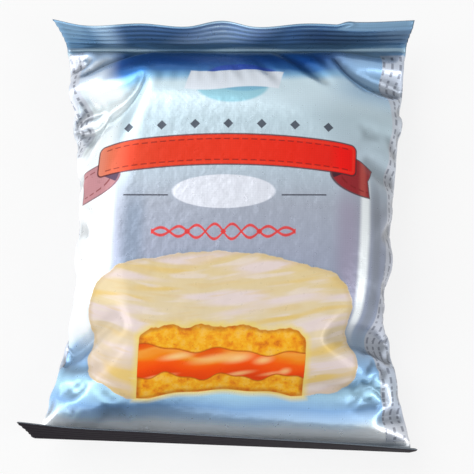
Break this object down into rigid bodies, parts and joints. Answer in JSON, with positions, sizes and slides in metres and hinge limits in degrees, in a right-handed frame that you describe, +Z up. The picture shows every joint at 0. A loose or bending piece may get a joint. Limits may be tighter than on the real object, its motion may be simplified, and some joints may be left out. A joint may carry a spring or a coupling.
{
  "type": "sealed flow wrap cookie pack",
  "caption": "Pillow-shaped printed metal film pack around one round filled cookie, crimped shut at both ends and lying on its back seam.",
  "frame": {"origin": "on the surface the pack lies on, under the middle of its box", "axes": "+X across the pack, +Y from its bottom seal to its top seal, +Z up out of its printed front"},
  "size_m": [0.094, 0.1036, 0.0245],
  "materials": {
    "printed_film": "printed metallised film, satin with soft highlights"
  },
  "bodies": {
    "root": {"flow_pack": "printed_film"}
  },
  "joints": []
}
